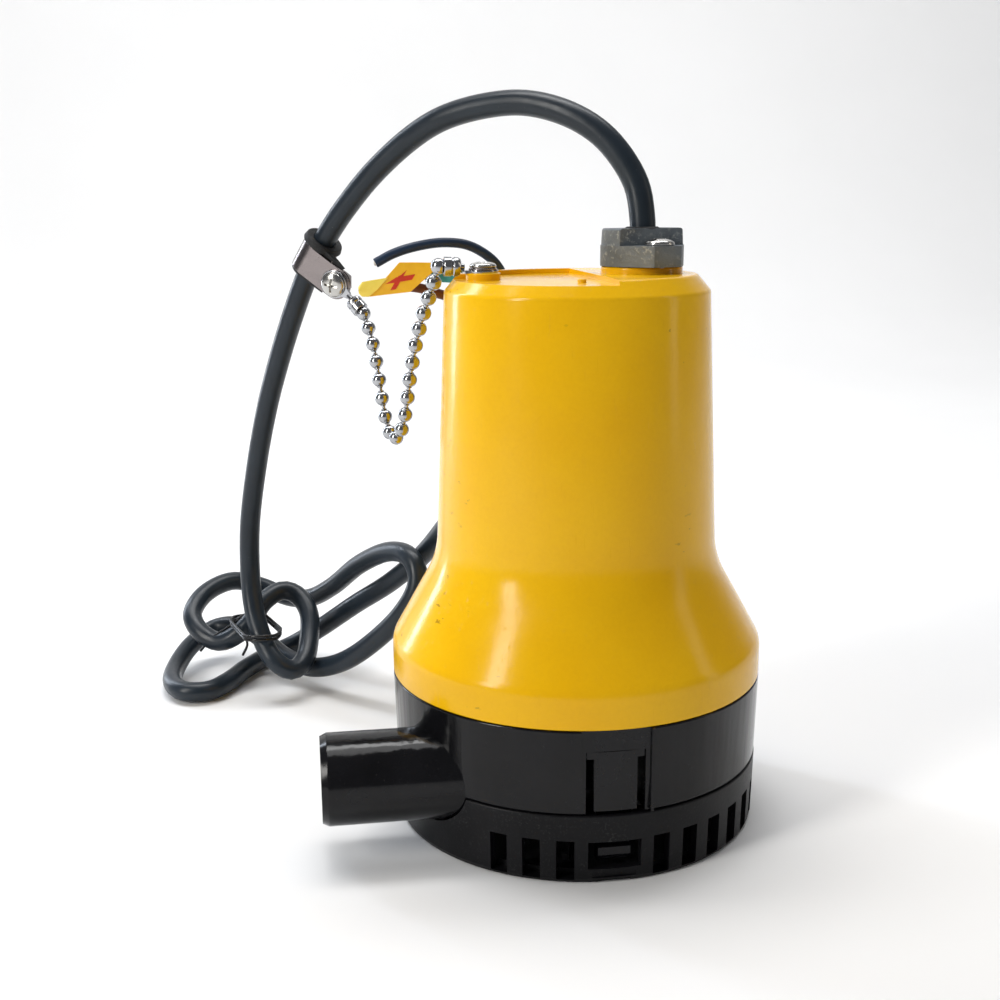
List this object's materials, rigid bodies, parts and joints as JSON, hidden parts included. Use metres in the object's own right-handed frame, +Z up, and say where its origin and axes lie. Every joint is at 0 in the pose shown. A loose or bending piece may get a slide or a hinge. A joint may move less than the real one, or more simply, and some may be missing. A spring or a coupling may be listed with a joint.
{
  "type": "submersible bilge pump",
  "caption": "Submersible bilge pump with clip-on strainer, side hose spigot, sealed motor housing, cable gland and tied supply cable with a ball chain clip.",
  "frame": {"origin": "on the pump's axis, on the floor under the strainer base", "axes": "+Z up along the motor shaft, -X along the hose spigot, the two release latches on -Y and +Y"},
  "size_m": [0.1905, 0.2126, 0.2127],
  "materials": {
    "yellow_housing": "glossy moulded ABS",
    "casing_black": "glossy moulded ABS",
    "strainer_black": "matte moulded plastic",
    "gland_black": "matte textured plastic",
    "inner_plastic": "matte moulded plastic",
    "impeller_plastic": "satin glass-filled plastic",
    "nylon": "satin nylon",
    "phenolic": "pressed phenolic sheet",
    "stainless": "satin stainless steel",
    "screw_steel": "polished stainless steel",
    "chain_nickel": "bright nickel plate",
    "motor_steel": "zinc-plated steel",
    "lamination_steel": "stacked laminations",
    "magnet_ferrite": "sintered ferrite",
    "copper": "enamelled copper wire",
    "brass_part": "plain brass",
    "carbon": "pressed carbon",
    "rubber_black": "matte rubber",
    "cable_sheath": "satin soft sheath",
    "lead_blue": "satin insulation",
    "lead_brown": "satin insulation",
    "tag_yellow": "printed plastic label",
    "tag_teal": "printed plastic label",
    "tie_wire": "plastic-coated wire"
  },
  "bodies": {
    "strainer": {"strainer_base": "strainer_black"},
    "pump": {"upper_housing": "yellow_housing", "volute_casing": "casing_black", "casing_screws": "screw_steel", "suction_plate": "inner_plastic", "suction_plate_screws": "screw_steel", "casing_o_ring": "rubber_black", "bulkhead_plate": "inner_plastic", "shaft_seal": "rubber_black", "motor_screws": "screw_steel", "motor_can": "motor_steel", "motor_end_bell": "inner_plastic", "field_magnets": "magnet_ferrite", "lower_bearing": "stainless", "upper_bearing": "stainless", "brush_card": "phenolic", "carbon_brushes": "carbon", "brush_springs": "brass_part", "motor_terminals": "brass_part", "motor_lead_positive": "lead_brown", "motor_lead_negative": "lead_blue", "cable_grommet": "rubber_black", "gland_cap": "gland_black", "gland_screws": "screw_steel", "chain_ring_terminal": "stainless", "anchor_washer": "stainless", "anchor_screw": "screw_steel", "chain_coupling_anchor": "chain_nickel", "chain_coupling_clip": "chain_nickel", "cable_clip_band": "stainless", "cable_clip_cushion": "rubber_black", "cable_clip_screw": "screw_steel", "cable_clip_nut": "stainless", "power_cable": "cable_sheath", "cable_twist_tie": "tie_wire", "lead_blue": "lead_blue", "lead_brown": "lead_brown", "polarity_tag": "tag_yellow", "tag_backing": "tag_teal"},
    "rotor": {"motor_shaft": "stainless", "armature_core": "lamination_steel", "armature_windings": "copper", "commutator": "copper", "thrust_washer": "nylon", "impeller": "impeller_plastic", "impeller_nut": "brass_part"},
    "latch_front": {"latch_tab_front": "casing_black"},
    "latch_rear": {"latch_tab_rear": "casing_black"},
    "chain": {"ball_chain": "chain_nickel"}
  },
  "joints": [
    {"name": "strainer_release", "type": "slide", "parent": "strainer", "child": "pump", "axis": [0, 0, 1], "range_m": [0, 0.04]},
    {"name": "rotor_spin", "type": "hinge", "parent": "pump", "child": "rotor", "pos_m": [0, 0, 0.08], "axis": [0, 0, 1], "continuous": true},
    {"name": "latch_front_press", "type": "hinge", "parent": "pump", "child": "latch_front", "pos_m": [0, -0.0522, 0.037], "axis": [1, 0, 0], "range_deg": [0, 5], "stiffness_Nm_per_rad": 0.6},
    {"name": "latch_rear_press", "type": "hinge", "parent": "pump", "child": "latch_rear", "pos_m": [0, 0.0522, 0.037], "axis": [-1, 0, 0], "range_deg": [0, 5], "stiffness_Nm_per_rad": 0.6},
    {"name": "chain_swing", "type": "hinge", "parent": "pump", "child": "chain", "pos_m": [-0.0395, 0, 0.1636], "axis": [-0.2837, 0.92, -0.2703], "range_deg": [-8, 50]}
  ]
}
